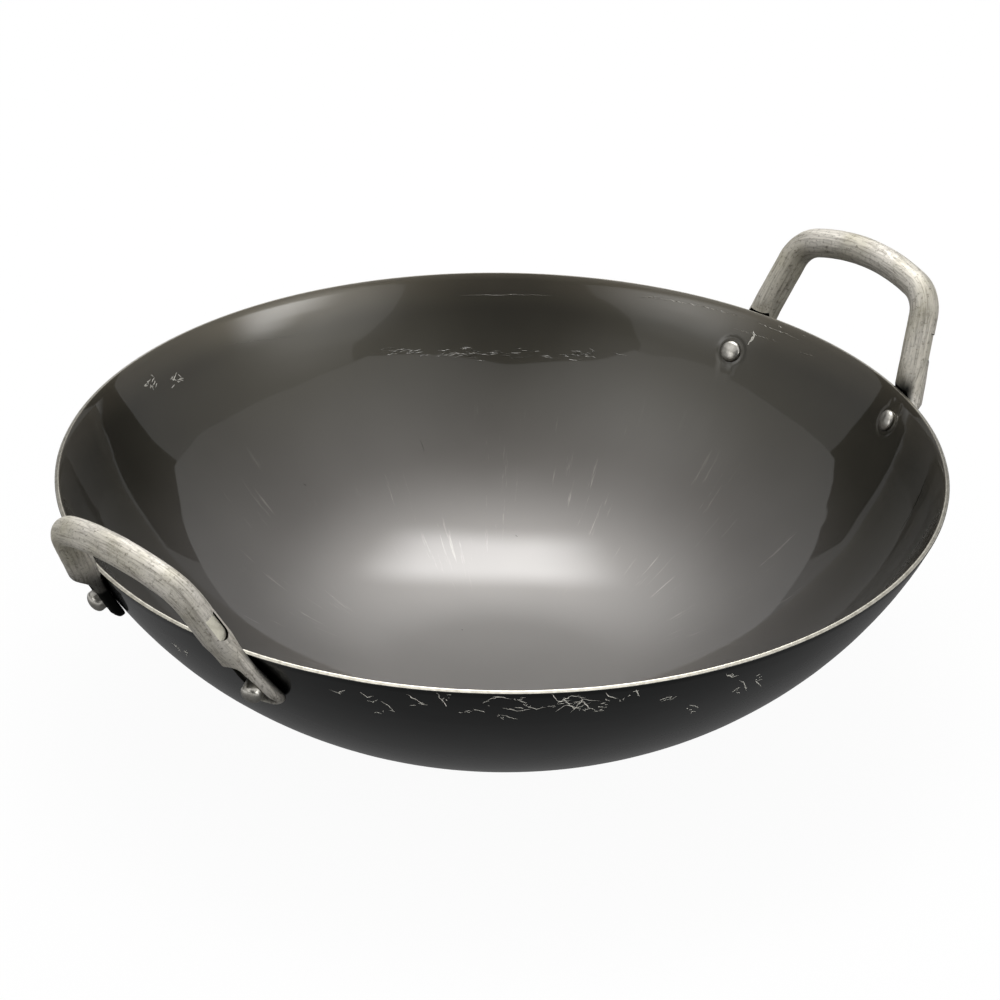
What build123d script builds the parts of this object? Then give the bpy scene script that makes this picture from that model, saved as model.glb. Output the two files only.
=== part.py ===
from build123d import *
from math import acos, asin, atan2, cos, degrees, hypot, radians, sin, tan
import os

os.makedirs("parts", exist_ok=True)

# Bowl: one sheet pressed into two arcs of revolution, with a small flat to stand on.
# The slopes are angles of the outer face from level.
rim_radius = 180.0
sheet = 2.0
wall_radius = 175.5
rim_slope = 63.85
join_slope = 30.0
base_radius = 35.0
rim_round_share = 0.2

# Handles: a loop of tube, measured in its own plane from the line through its two rivets.
# They were riveted on by eye: the left one sits a little round from opposite and its back leg
# was cut shorter, and each is turned a little in its plane. The angles are in degrees.
rivet_drop = 13.9
rivet_span = 97.8
corner_span = 75.0
corner_height = 53.4
corner_radius = 14.5
crown_height = 10.5
crown_share = 0.95
tube_radius = 6.0
tube_wall = 1.5
tube_lift = 5.8
loop_rise = 2.1
right_azimuth = 0.0
right_turn = -3.8
left_azimuth = 182.0
left_turn = 3.5
short_leg_rise = 4.0

# Crushed ends: each is a pad round its rivet, with a trough pressed into it
pad_above = 17.0
pad_below = 11.4
pad_end_radius = 6.8
lip_height = 8.8
ramp_angle = 25.0
trough_floor = 3.0
bead_width = 1.5
lip_round_share = 0.45
trough_round_share = 0.8

# Openings in the tube: a slot that clears the rim, and a vent pocket on the front leg's side.
# The right handle's pocket was ground further round to the outside.
slot_height = 2.6
slot_reach = 2.6
bore_stop = 1.5
vent_above_rim = 10.0
right_vent_round = 35.0
vent_length = 12.5
vent_width = 6.0
vent_depth = 1.0
vent_lean = 4.0

# Rivets: a low head inside the bowl, and a tall one that stands out of the trough
shank_radius = 2.5
hole_clearance = 0.1
head_gap = 0.1
inner_head_radius = 4.4
inner_head_edge = 0.9
inner_head_height = 2.3
outer_head_radius = 4.4
outer_head_proud = 3.0
outer_head_dome = 2.2

# How far every cut runs past what it cuts
overrun = 5.0

# The bowl's arcs and depth
join_radius = rim_radius - wall_radius * (sin(radians(rim_slope)) - sin(radians(join_slope)))
floor_radius = (join_radius - base_radius) / sin(radians(join_slope))
depth = (
    floor_radius * (1 - cos(radians(join_slope)))
    + wall_radius * (cos(radians(join_slope)) - cos(radians(rim_slope)))
)
floor_centre = (base_radius, floor_radius)
wall_centre = (
    rim_radius - wall_radius * sin(radians(rim_slope)),
    depth + wall_radius * cos(radians(rim_slope)),
)

# The rivets' line: where the tube's axis runs past them, out from the wall
rivet_slope = degrees(acos((wall_centre[1] - depth + rivet_drop) / wall_radius))
axis_radius = wall_centre[0] + (wall_radius + tube_lift) * sin(radians(rivet_slope))
axis_height = wall_centre[1] - (wall_radius + tube_lift) * cos(radians(rivet_slope))
rivet_azimuth = asin(rivet_span / 2 / axis_radius)
rim_above_rivet = (depth - axis_height) / sin(radians(rivet_slope + loop_rise))

# The loop's outline
leg_spread = (rivet_span - corner_span) / 2 / corner_height
leg_lean = degrees(atan2(leg_spread, 1))
bar_slope = degrees(atan2(crown_height, corner_span / 2))
corner_run = corner_radius * tan(radians((90 - leg_lean - bar_slope) / 2))
crown_run = crown_share * (hypot(corner_span / 2, crown_height) - corner_run)
crown_radius = crown_run / tan(radians(bar_slope))


def section_point(centre, radius, slope):
    """The point of an arc of the bowl's section where its face has this slope."""
    return (centre[0] + radius * sin(radians(slope)), centre[1] - radius * cos(radians(slope)))


def bowl_face(inset):
    """Draws the bowl's outer face, moved in by inset, from the axis to the rim."""
    Line((0, inset), (base_radius, inset))
    CenterArc(floor_centre, floor_radius - inset, -90, join_slope)
    CenterArc(wall_centre, wall_radius - inset, join_slope - 90, rim_slope - join_slope)


def handle_plane(azimuth, turn):
    """The plane of a handle's loop: x along the rim, y up the loop, z out from the bowl."""
    outward = Vector(cos(radians(azimuth)), sin(radians(azimuth)), 0)
    level = Vector(-outward.Y, outward.X, 0)
    upright = Vector(0, 0, 1)
    up = outward * cos(radians(rivet_slope + loop_rise)) + upright * sin(radians(rivet_slope + loop_rise))
    return Plane(
        origin=outward * axis_radius * cos(rivet_azimuth) + upright * axis_height,
        x_dir=level * cos(radians(turn)) + up * sin(radians(turn)),
        z_dir=level.cross(up),
    )


def leg_point(leg, height):
    """The centre line of a leg, -1 or 1, at a height above the rivets' line."""
    return (leg * (rivet_span / 2 - leg_spread * height), height)


def seat_plane(azimuth, turn, leg, rise):
    """The wall under a rivet: origin on its outer face, x up the leg, z out from the bowl."""
    plane = handle_plane(azimuth, turn)
    on_axis = plane.from_local_coords(Vector(*leg_point(leg, rise)))
    reach = hypot(on_axis.X, on_axis.Y)
    rise = Vector(reach - wall_centre[0], on_axis.Z - wall_centre[1], 0).normalized()
    normal = Vector(rise.X * on_axis.X / reach, rise.X * on_axis.Y / reach, rise.Y)
    foot = (wall_centre[0] + wall_radius * rise.X) / reach
    origin = Vector(foot * on_axis.X, foot * on_axis.Y, wall_centre[1] + wall_radius * rise.Y)
    corner = plane.from_local_coords(Vector(leg * corner_span / 2, corner_height, 0))
    up = corner - on_axis
    return Plane(origin=origin, x_dir=up - normal * up.dot(normal), z_dir=normal)


def draw_loop(feet):
    """Draws the loop's centre line, with its two feet at these heights."""
    FilletPolyline(
        leg_point(-1, feet[0]),
        (-corner_span / 2, corner_height),
        (0, corner_height + crown_height),
        (corner_span / 2, corner_height),
        leg_point(1, feet[1]),
        radius=[corner_radius, crown_radius, corner_radius],
    )


def sweep_tube(plane, feet, radius):
    """A solid rod of this radius along the loop's centre line."""
    with BuildPart() as rod:
        with BuildLine(plane) as route:
            draw_loop(feet)
        with BuildSketch(Plane(origin=route.line @ 0, z_dir=route.line % 0)):
            Circle(radius)
        sweep()
    return rod.part


def vent_plane(plane, leg, around):
    """On a leg's axis above the rim, x up the leg and z away from the loop, turned outwards."""
    foot = plane.from_local_coords(Vector(*leg_point(leg, 0)))
    corner = plane.from_local_coords(Vector(*leg_point(leg, corner_height)))
    leg_up = (corner - foot).normalized()
    away = leg_up.cross(plane.z_dir) * leg * cos(radians(around)) + plane.z_dir * sin(radians(around))
    lean = radians(vent_lean)
    return Plane(
        origin=foot + leg_up * (rim_above_rivet + vent_above_rim) / cos(radians(leg_lean)),
        x_dir=leg_up * cos(lean) - away * sin(lean),
        z_dir=away * cos(lean) + leg_up * sin(lean),
    )


def pad_block(seat, bottom, top, inset, round_top, round_bottom):
    """A block of the pad's outline moved in by inset, from bottom to top above the wall.

    The outline is as wide as the tube where it leaves it, and wider at its lower end.
    """
    with BuildPart() as block:
        with BuildSketch(seat.offset(bottom)):
            with Locations((pad_end_radius - pad_below, 0)):
                Circle(pad_end_radius - inset)
            with Locations((pad_above - tube_radius, 0)):
                Circle(tube_radius - inset)
            make_hull()
        extrude(amount=top - bottom)
        levels = block.edges().group_by(Axis(seat.origin, seat.z_dir))
        if round_top:
            fillet(levels[-1], round_top)
        if round_bottom:
            fillet(levels[0], round_bottom)
    return block.part


def lip_cut(seat):
    """What the press takes off above the lips, with the ramp that leads up to the round tube."""
    top = tube_lift + tube_radius + overrun
    ramp = (top - lip_height) / tan(radians(ramp_angle))
    side_plane = Plane(origin=seat.origin, x_dir=seat.x_dir, z_dir=seat.x_dir.cross(seat.z_dir))
    with BuildPart() as cut:
        with BuildSketch(side_plane):
            with BuildLine():
                Polyline(
                    (-pad_below - overrun, lip_height),
                    (pad_above, lip_height),
                    (pad_above + ramp, top),
                    (-pad_below - overrun, top),
                    close=True,
                )
            make_face()
        extrude(amount=pad_end_radius + overrun, both=True)
    return cut.part


def make_keep_out():
    """Everything inside the bowl's outer face, and the ring above the rim that the slots clear."""
    with BuildPart() as block:
        with BuildSketch(Plane.XZ):
            with BuildLine():
                bowl_face(0)
                Polyline(section_point(wall_centre, wall_radius, rim_slope), (0, depth), (0, 0))
            make_face()
        revolve(axis=Axis.Z)
        with BuildSketch(Plane.XY.offset(depth)):
            Circle(rim_radius + slot_reach)
        extrude(amount=slot_height)
    return block.part


def make_handle(azimuth, turn, rises, vent_leg, vent_round):
    """A loop of tube with both ends crushed against the wall."""
    plane = handle_plane(azimuth, turn)
    seats = [seat_plane(azimuth, turn, leg, rise) for leg, rise in zip((-1, 1), rises)]
    top = tube_lift + tube_radius + overrun
    sink = pad_above**2 / wall_radius
    rod_foot = pad_end_radius - pad_below
    # the trough's width beside the rivet leaves room for its head and the round in the corner
    widening = (pad_above - tube_radius) / (pad_above - tube_radius - rod_foot)
    half_width = tube_radius + widening * (pad_end_radius - tube_radius)
    trough_round = trough_round_share * (half_width - bead_width - outer_head_radius)
    feet = [rod_foot + rise for rise in rises]
    bore_feet = [rim_above_rivet - bore_stop + rise for rise in rises]
    rod = sweep_tube(plane, feet, tube_radius)
    bore = sweep_tube(plane, bore_feet, tube_radius - tube_wall)
    vent = vent_plane(plane, vent_leg, vent_round)
    pads = [pad_block(seat, -sink, lip_height, 0, lip_round_share * bead_width, 0) for seat in seats]
    troughs = [pad_block(seat, trough_floor, top, bead_width, 0, trough_round) for seat in seats]
    cuts = [lip_cut(seat) for seat in seats]
    keep_out = make_keep_out()
    with BuildPart() as handle:
        add(rod)
        add(cuts, mode=Mode.SUBTRACT)
        add(pads)
        add(bore, mode=Mode.SUBTRACT)
        add(troughs, mode=Mode.SUBTRACT)
        add(keep_out, mode=Mode.SUBTRACT)
        for seat in seats:
            with BuildSketch(seat):
                Circle(shank_radius + hole_clearance)
            extrude(amount=trough_floor + overrun, both=True, mode=Mode.SUBTRACT)
        with BuildSketch(vent.offset(tube_radius - vent_depth)):
            SlotOverall(vent_length, vent_width)
            with Locations((vent_length / 4, 0)):
                Rectangle(vent_length / 2, vent_width)
        extrude(amount=vent_depth + overrun, mode=Mode.SUBTRACT)
    return handle.part


def make_rivet(seat):
    """A rivet through the wall and the trough's floor, turned about the seat's normal."""
    inner_seat = sheet + head_gap
    outer_seat = trough_floor + head_gap
    outer_top = lip_height + outer_head_proud
    profile_plane = Plane(origin=seat.origin, x_dir=seat.x_dir, z_dir=seat.x_dir.cross(seat.z_dir))
    with BuildPart() as rivet:
        with BuildSketch(profile_plane):
            with BuildLine():
                TangentArc(
                    (0, -inner_seat - inner_head_height),
                    (inner_head_radius, -inner_seat - inner_head_edge),
                    tangent=(1, 0),
                )
                Polyline(
                    (inner_head_radius, -inner_seat - inner_head_edge),
                    (inner_head_radius, -inner_seat),
                    (shank_radius, -inner_seat),
                    (shank_radius, outer_seat),
                    (outer_head_radius, outer_seat),
                    (outer_head_radius, outer_top - outer_head_dome),
                )
                TangentArc((0, outer_top), (outer_head_radius, outer_top - outer_head_dome), tangent=(1, 0))
                Line((0, outer_top), (0, -inner_seat - inner_head_height))
            make_face()
        revolve(axis=Axis(seat.origin, seat.z_dir))
    return rivet.part


# Every rivet: its name, and the wall under it
rivet_seats = {
    "rivet_right_front": seat_plane(right_azimuth, right_turn, -1, 0),
    "rivet_right_back": seat_plane(right_azimuth, right_turn, 1, 0),
    "rivet_left_front": seat_plane(left_azimuth, left_turn, 1, 0),
    "rivet_left_back": seat_plane(left_azimuth, left_turn, -1, short_leg_rise),
}

with BuildPart() as bowl:
    with BuildSketch(Plane.XZ):
        with BuildLine():
            bowl_face(0)
            bowl_face(sheet)
            Line((0, 0), (0, sheet))
            Line(
                section_point(wall_centre, wall_radius, rim_slope),
                section_point(wall_centre, wall_radius - sheet, rim_slope),
            )
        make_face()
    revolve(axis=Axis.Z)
    rim_edges = bowl.edges().filter_by(GeomType.CIRCLE).sort_by(Axis.Z)[-2:]
    fillet(rim_edges, rim_round_share * sheet)
    for seat in rivet_seats.values():
        with BuildSketch(seat):
            Circle(shank_radius + hole_clearance)
        extrude(amount=sheet + overrun, both=True, mode=Mode.SUBTRACT)
bowl.part.label = "bowl"
export_step(bowl.part, "parts/bowl.step")

handle_right = make_handle(right_azimuth, right_turn, (0, 0), -1, right_vent_round)
handle_right.label = "handle_right"
export_step(handle_right, "parts/handle_right.step")

handle_left = make_handle(left_azimuth, left_turn, (short_leg_rise, 0), 1, 0)
handle_left.label = "handle_left"
export_step(handle_left, "parts/handle_left.step")

for name, seat in rivet_seats.items():
    rivet = make_rivet(seat)
    rivet.label = name
    export_step(rivet, "parts/" + name + ".step")

print("bowl depth", round(depth, 2), "floor arc", round(floor_radius, 2))
print("wall slope at the rivets", round(rivet_slope, 2), "bar arc", round(crown_radius, 2))
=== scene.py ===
import bmesh
import bpy
import math
import numpy as np
import random
from mathutils import Matrix, Vector
from mathutils.bvhtree import BVHTree
from mathutils.kdtree import KDTree


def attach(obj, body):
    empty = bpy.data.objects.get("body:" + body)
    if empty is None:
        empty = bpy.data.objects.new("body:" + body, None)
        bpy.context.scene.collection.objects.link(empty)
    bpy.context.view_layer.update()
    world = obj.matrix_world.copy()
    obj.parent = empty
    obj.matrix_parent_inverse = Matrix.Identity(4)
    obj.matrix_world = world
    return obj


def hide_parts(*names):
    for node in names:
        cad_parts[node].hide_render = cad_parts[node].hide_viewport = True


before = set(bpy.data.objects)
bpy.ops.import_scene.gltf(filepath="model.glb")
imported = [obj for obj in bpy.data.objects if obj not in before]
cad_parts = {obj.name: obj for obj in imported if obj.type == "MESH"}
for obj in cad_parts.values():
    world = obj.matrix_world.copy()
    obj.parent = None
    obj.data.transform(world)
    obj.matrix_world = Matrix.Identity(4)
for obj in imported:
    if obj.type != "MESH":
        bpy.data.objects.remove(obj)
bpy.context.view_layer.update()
print("frame loaded:", ", ".join(sorted(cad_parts)))

mm = 0.001


def linearColour(hexText):  # sRGB hex to the linear colour that sockets take
    parts = [int(hexText[i:i + 2], 16) / 255 for i in (1, 3, 5)]
    return [p / 12.92 if p <= 0.04045 else ((p + 0.055) / 1.055) ** 2.4 for p in parts] + [1.0]


def addNode(tree, kind, inputs=None, **settings):  # one node, its settings, and its values or links
    node = tree.nodes.new(kind)
    for name, value in settings.items():
        setattr(node, name, value)
    for key, value in (inputs or {}).items():
        if isinstance(value, bpy.types.Node):
            value = value.outputs[0]
        if isinstance(value, bpy.types.NodeSocket):
            tree.links.new(value, node.inputs[key])
        else:
            node.inputs[key].default_value = value
    return node


def maths(tree, operation, *values):
    return addNode(tree, "ShaderNodeMath", dict(enumerate(values)), operation=operation).outputs[0]


def vectorMaths(tree, operation, first, second):  # SCALE takes a number, which is input 3
    key = 3 if operation == "SCALE" else 1
    return addNode(tree, "ShaderNodeVectorMath", {0: first, key: second}, operation=operation).outputs[0]


def lengthOf(tree, vector):
    return addNode(tree, "ShaderNodeVectorMath", {0: vector}, operation="LENGTH").outputs["Value"]


def ramp(tree, value, span, result=(0.0, 1.0), kind="SMOOTHSTEP"):  # a value's span turned into another
    inputs = dict(enumerate((value, *span, *result)))
    return addNode(tree, "ShaderNodeMapRange", inputs, interpolation_type=kind).outputs[0]


def objectPlace(tree):
    return addNode(tree, "ShaderNodeTexCoord").outputs["Object"]


def attribute(tree, name, output="Fac"):
    return addNode(tree, "ShaderNodeAttribute", attribute_name=name).outputs[output]


def noise(tree, place, kind):  # kind is its scale, detail and roughness
    inputs = {"Vector": place, "Scale": kind[0], "Detail": kind[1], "Roughness": kind[2]}
    return addNode(tree, "ShaderNodeTexNoise", inputs).outputs[0]


def blend(tree, share, first, second):  # two colours, inputs 6 and 7, each a hex text, a value or a socket
    inputs = {0: share}
    for key, colour in ((6, first), (7, second)):
        inputs[key] = linearColour(colour) if isinstance(colour, str) else colour
    return addNode(tree, "ShaderNodeMix", inputs, data_type="RGBA").outputs[2]


def choose(tree, share, first, second):  # the same for two numbers, inputs 2 and 3
    return addNode(tree, "ShaderNodeMix", {0: share, 2: first, 3: second}).outputs[0]


def bumped(tree, height, bump):  # bump is the strength and the depth in mm
    inputs = {"Height": height, "Strength": bump[0], "Distance": bump[1] * mm}
    return addNode(tree, "ShaderNodeBump", inputs).outputs[0]


def newMaterial(name):  # an empty node material and its tree
    material = bpy.data.materials.new(name)
    material.use_nodes = True
    material.node_tree.nodes.clear()
    return material, material.node_tree


def addSurface(tree, colour, roughness, more=None, metallic=1.0):  # the last two nodes of a material
    inputs = {"Base Color": colour, "Metallic": metallic, "Roughness": roughness, **(more or {})}
    shader = addNode(tree, "ShaderNodeBsdfPrincipled", inputs)
    addNode(tree, "ShaderNodeOutputMaterial", {"Surface": shader})


def newObject(name, mesh):
    obj = bpy.data.objects.new(name, mesh)
    bpy.context.scene.collection.objects.link(obj)
    return obj


def meshFrom(shape, name):  # a bmesh, with its normals turned out, kept as a mesh
    bmesh.ops.recalc_face_normals(shape, faces=shape.faces)
    mesh = bpy.data.meshes.new(name)
    shape.to_mesh(mesh)
    shape.free()
    return mesh


def joinRings(shape, rings):  # a band of faces from each ring to the next
    faces = []
    for a, b in zip(rings, rings[1:]):
        for k in range(len(a)):
            n = (k + 1) % len(a)
            faces.append(shape.faces.new((a[k], a[n], b[n], b[k])))
    return faces


def addAttribute(mesh, name, values):  # a number, or a vector, for every point
    values = np.asarray(values, np.float32)
    kind, field = ("FLOAT_VECTOR", "vector") if values.ndim > 1 else ("FLOAT", "value")
    mesh.attributes.new(name, kind, "POINT").data.foreach_set(field, values.ravel())


def sinOf(angle):
    return math.sin(math.radians(angle))


def cosOf(angle):
    return math.cos(math.radians(angle))


def smoothStep(low, high, x):
    t = min(1.0, max(0.0, (x - low) / (high - low)))
    return t * t * (3 - 2 * t)


# The pan's section and loops, as the CAD has them, in millimetres and degrees
pan = {
    "rimRadius": 180.0, "sheet": 2.0, "wallRadius": 175.5, "rimSlope": 63.85, "joinSlope": 30.0,
    "baseRadius": 35.0,
    "rivetReach": 172.0,  # about how far the wall is from the axis at the rivets, to space points by
}
loop = {
    "rivetDrop": 13.9, "rivetSpan": 97.8, "cornerSpan": 75.0, "cornerHeight": 53.4, "cornerRadius": 14.5,
    "crownHeight": 10.5, "tubeRadius": 6.0, "tubeLift": 5.8, "loopRise": 2.1, "padEndRadius": 6.8,
    "right": {"azimuth": 0.0, "turn": -3.8, "rises": (0.0, 0.0)},
    "left": {"azimuth": 182.0, "turn": 3.5, "rises": (4.0, 0.0)},
}

joinRadius = pan["rimRadius"] - pan["wallRadius"] * (sinOf(pan["rimSlope"]) - sinOf(pan["joinSlope"]))
floorRadius = (joinRadius - pan["baseRadius"]) / sinOf(pan["joinSlope"])
panDepth = (
    floorRadius * (1 - cosOf(pan["joinSlope"]))
    + pan["wallRadius"] * (cosOf(pan["joinSlope"]) - cosOf(pan["rimSlope"]))
)
wallCentre = (
    pan["rimRadius"] - pan["wallRadius"] * sinOf(pan["rimSlope"]),
    panDepth + pan["wallRadius"] * cosOf(pan["rimSlope"]),
)
rivetSlope = math.degrees(math.acos((wallCentre[1] - panDepth + loop["rivetDrop"]) / pan["wallRadius"]))
axisRadius = wallCentre[0] + (pan["wallRadius"] + loop["tubeLift"]) * sinOf(rivetSlope)
axisHeight = wallCentre[1] - (pan["wallRadius"] + loop["tubeLift"]) * cosOf(rivetSlope)
rivetAzimuth = math.asin(loop["rivetSpan"] / 2 / axisRadius)
legSpread = (loop["rivetSpan"] - loop["cornerSpan"]) / 2 / loop["cornerHeight"]


def loopPlane(side):  # origin, x along the rim, y up the loop and z out from the bowl
    out = Vector((cosOf(side["azimuth"]), sinOf(side["azimuth"]), 0))
    level = Vector((-out.y, out.x, 0))
    lean = rivetSlope + loop["loopRise"]
    up = out * cosOf(lean) + Vector((0, 0, 1)) * sinOf(lean)
    xAxis = level * cosOf(side["turn"]) + up * sinOf(side["turn"])
    zAxis = level.cross(up)
    origin = out * axisRadius * math.cos(rivetAzimuth) + Vector((0, 0, axisHeight))
    return origin, xAxis, zAxis.cross(xAxis), zAxis


def onLoop(side, x, y):  # a point of the loop's plane
    origin, xAxis, yAxis, _ = loopPlane(side)
    return origin + xAxis * x + yAxis * y


def seatOf(side, leg):  # the wall under a rivet: a point of its outer face, and the way out of the bowl
    rise = side["rises"][(leg + 1) // 2]
    onAxis = onLoop(side, leg * (loop["rivetSpan"] / 2 - legSpread * rise), rise)
    reach = math.hypot(onAxis.x, onAxis.y)
    lean = Vector((reach - wallCentre[0], onAxis.z - wallCentre[1])).normalized()
    normal = Vector((lean.x * onAxis.x / reach, lean.x * onAxis.y / reach, lean.y))
    foot = (wallCentre[0] + pan["wallRadius"] * lean.x) / reach
    point = Vector((foot * onAxis.x, foot * onAxis.y, wallCentre[1] + pan["wallRadius"] * lean.y))
    return point, normal


seats = [seatOf(loop[name], leg) for name in ("right", "left") for leg in (-1, 1)]


# Clear lacquer baked on blackened carbon steel: a mirror-like coat with soft waves, over a dark satin metal
# that spreads strong light widely. Noises are scale, detail and roughness, and spans are where they start
# and end. Heights and radii are in metres.
lacquerInside = {
    "steel": "#524f4c", "steelPale": "#5e5b58", "olive": "#605b50", "scuff": "#c9c6bb",
    "blotch": (22.0, 3.0, 0.55), "blotchSpan": (0.3, 0.7), "roughness": (0.4, 0.48),
    "coat": {"Coat Weight": 1.0, "Coat Roughness": 0.035, "Coat IOR": 1.5},
    # the wall is painted darker than the floor as painted shade, its lacquer is more olive than the floor's,
    # and yellower again by the rim
    "wallPaintedShade": (0.63, 0.625, 0.53, 1.0), "wallHeights": (0.02, 0.07),
    "rimHeights": (0.081, 0.0945), "rimShare": 0.95,
    # faint radial marks of the press, in clusters in a ring round the floor
    "markRadius": 100.0, "markSpacing": 2.2, "markLength": 30.0,  # mm
    "marks": (1.0, 4.0, 0.7), "markSpan": (0.58, 0.74), "markStrength": 0.2, "bump": (0.25, 0.02),
    "clusters": (38.0, 2.0, 0.5), "clusterSpan": (0.5, 0.62),
    "ringInner": (0.06, 0.1), "ringOuter": (0.125, 0.155),
}


def insideMaterial():
    m = lacquerInside
    material, tree = newMaterial("lacquered_carbon_steel_inside")
    place = objectPlace(tree)
    flat = vectorMaths(tree, "MULTIPLY", place, (1, 1, 0))
    radius = lengthOf(tree, flat)
    heading = addNode(tree, "ShaderNodeVectorMath", {0: flat}, operation="NORMALIZE")
    height = addNode(tree, "ShaderNodeSeparateXYZ", {0: place}).outputs["Z"]
    blotch = noise(tree, place, m["blotch"])

    around = vectorMaths(tree, "SCALE", heading, m["markRadius"] / m["markSpacing"])
    down = maths(tree, "MULTIPLY", radius, 1 / (m["markLength"] * mm))
    markPlace = vectorMaths(tree, "ADD", around, addNode(tree, "ShaderNodeCombineXYZ", {2: down}))
    marks = noise(tree, markPlace, m["marks"])
    ringInner = ramp(tree, radius, m["ringInner"])
    ringOuter = ramp(tree, radius, m["ringOuter"], (1.0, 0.0))
    clustered = ramp(tree, noise(tree, place, m["clusters"]), m["clusterSpan"])
    where = maths(tree, "MULTIPLY", clustered, maths(tree, "MULTIPLY", ringInner, ringOuter))
    markMask = maths(tree, "MULTIPLY", ramp(tree, marks, m["markSpan"]), where)

    tone = blend(tree, blotch, m["steel"], m["steelPale"])
    # painted shade: the wall darkened, and tinted olive, by height
    shade = blend(tree, ramp(tree, height, m["wallHeights"]), (1, 1, 1, 1), m["wallPaintedShade"])
    shaded = vectorMaths(tree, "MULTIPLY", tone, shade)
    tinted = blend(tree, ramp(tree, height, m["rimHeights"], (0.0, m["rimShare"])), shaded, m["olive"])
    marked = blend(tree, maths(tree, "MULTIPLY", markMask, m["markStrength"]), tinted, m["scuff"])
    rough = ramp(tree, blotch, m["blotchSpan"], m["roughness"], "LINEAR")
    addSurface(tree, marked, rough, {"Normal": bumped(tree, marks, m["bump"]), **m["coat"]})
    return material


lacquerOutside = {
    "steel": "#1b1d1d", "steelPale": "#252828", "blotch": (30.0, 4.0, 0.6), "roughness": 0.45,
    "coat": {"Coat Weight": 1.0, "Coat Roughness": 0.08, "Coat IOR": 1.5},
}


def outsideMaterial():
    m = lacquerOutside
    material, tree = newMaterial("lacquered_carbon_steel_outside")
    tone = blend(tree, noise(tree, objectPlace(tree), m["blotch"]), m["steel"], m["steelPale"])
    addSurface(tree, tone, m["roughness"], m["coat"])
    return material


# Sheared steel edge, left bare: pale, warm and finely nicked, with a darker stripe along its middle that is
# painted shade
cutEdge = {
    "steel": "#cdc9bd", "shade": "#8f8a7d", "groove": "#4c4a44", "roughness": 0.34,
    "nicks": (400.0, 3.0, 0.6), "nickSpan": (0.4, 0.7), "nickShare": 0.6,
    "grooveMiddle": 0.5, "grooveHalf": 0.17,  # as shares of the sheet
    "grooveShadeShare": 0.3,                       # how much it darkens
}


def edgeMaterial():
    m = cutEdge
    material, tree = newMaterial("bare_sheared_steel_edge")
    nicks = noise(tree, objectPlace(tree), m["nicks"])
    share = ramp(tree, nicks, m["nickSpan"], (0.0, m["nickShare"]), "LINEAR")
    tone = blend(tree, share, m["steel"], m["shade"])
    # painted shade: a darker stripe along the middle of the edge
    middle = maths(tree, "COMPARE", attribute(tree, "depth"), m["grooveMiddle"], m["grooveHalf"])
    scored = blend(tree, maths(tree, "MULTIPLY", middle, m["grooveShadeShare"]), tone, m["groove"])
    addSurface(tree, scored, m["roughness"])
    return material


# Drawn mild steel tube, tumbled: dull warm grey with streaks along the tube and olive tarnish, and black
# painted shade where it is shaded
drawnTube = {
    "steel": "#dad6ce", "dark": "#7a756b", "tarnish": "#b5b09c", "soot": "#1c1d1b",
    "streaks": (1.0, 5.0, 0.7), "streakSpan": (0.46, 0.68), "streakAlong": 0.09, "streakAround": 6.0,
    "mottle": (700.0, 3.0, 0.7), "mottleSpan": (0.56, 0.7),
    "clouds": (45.0, 2.0, 0.5), "cloudSpan": (0.45, 0.7), "stainShare": 0.7,
    "roughSpan": (0.3, 0.7), "roughness": (0.6, 0.76), "bump": (0.4, 0.1),
}


def tubeMaterial():
    m = drawnTube
    material, tree = newMaterial("drawn_steel_tube")
    place = objectPlace(tree)
    along = maths(tree, "MULTIPLY", attribute(tree, "along"), m["streakAlong"])
    around = vectorMaths(tree, "SCALE", attribute(tree, "around", "Vector"), m["streakAround"])
    streakPlace = vectorMaths(tree, "ADD", around, addNode(tree, "ShaderNodeCombineXYZ", {2: along}))
    streaks = noise(tree, streakPlace, m["streaks"])
    mottle = noise(tree, place, m["mottle"])
    clouds = noise(tree, place, m["clouds"])
    tone = m["steel"]
    for pattern, span, stain in ((clouds, "cloudSpan", "tarnish"), (streaks, "streakSpan", "dark"),
                                 (mottle, "mottleSpan", "dark")):
        share = ramp(tree, pattern, m[span], (0.0, m["stainShare"]), "LINEAR")
        tone = blend(tree, share, tone, m[stain])
    # painted shade: black where the tube is close to the wall, in the dish and down a shaded leg
    tone = blend(tree, attribute(tree, "soot"), tone, m["soot"])
    rough = ramp(tree, mottle, m["roughSpan"], m["roughness"], "LINEAR")
    addSurface(tree, tone, rough, {"Normal": bumped(tree, streaks, m["bump"])})
    return material


# Bright rivet wire, peened over: clean and pale with small dents
rivetWire = {
    "steel": "#c4c1ba", "dark": "#8a867c", "roughness": 0.3, "dents": (500.0, 2.0, 0.5),
    "dentSpan": (0.4, 0.75), "dentShare": 0.7, "bump": (0.5, 0.2),
}


def rivetMaterial():
    m = rivetWire
    material, tree = newMaterial("peened_rivet_steel")
    dents = noise(tree, objectPlace(tree), m["dents"])
    share = ramp(tree, dents, m["dentSpan"], (0.0, m["dentShare"]), "LINEAR")
    addSurface(tree, blend(tree, share, m["steel"], m["dark"]), m["roughness"],
               {"Normal": bumped(tree, dents, m["bump"])})
    return material


grainNoise = (900.0, 3.0, 0.7)


def plainSteel(name, hexText, roughness, spread, metallic=1.0):  # a small surface with a broken-up tone
    material, tree = newMaterial(name)
    dark = [c * (1 - spread) for c in linearColour(hexText)[:3]] + [1.0]
    tone = blend(tree, noise(tree, objectPlace(tree), grainNoise), dark, hexText)
    addSurface(tree, tone, roughness, metallic=metallic)
    return material


insideSteel = insideMaterial()
outsideSteel = outsideMaterial()
edgeSteel = edgeMaterial()
tubeSteel = tubeMaterial()
rivetSteel = rivetMaterial()
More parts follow.
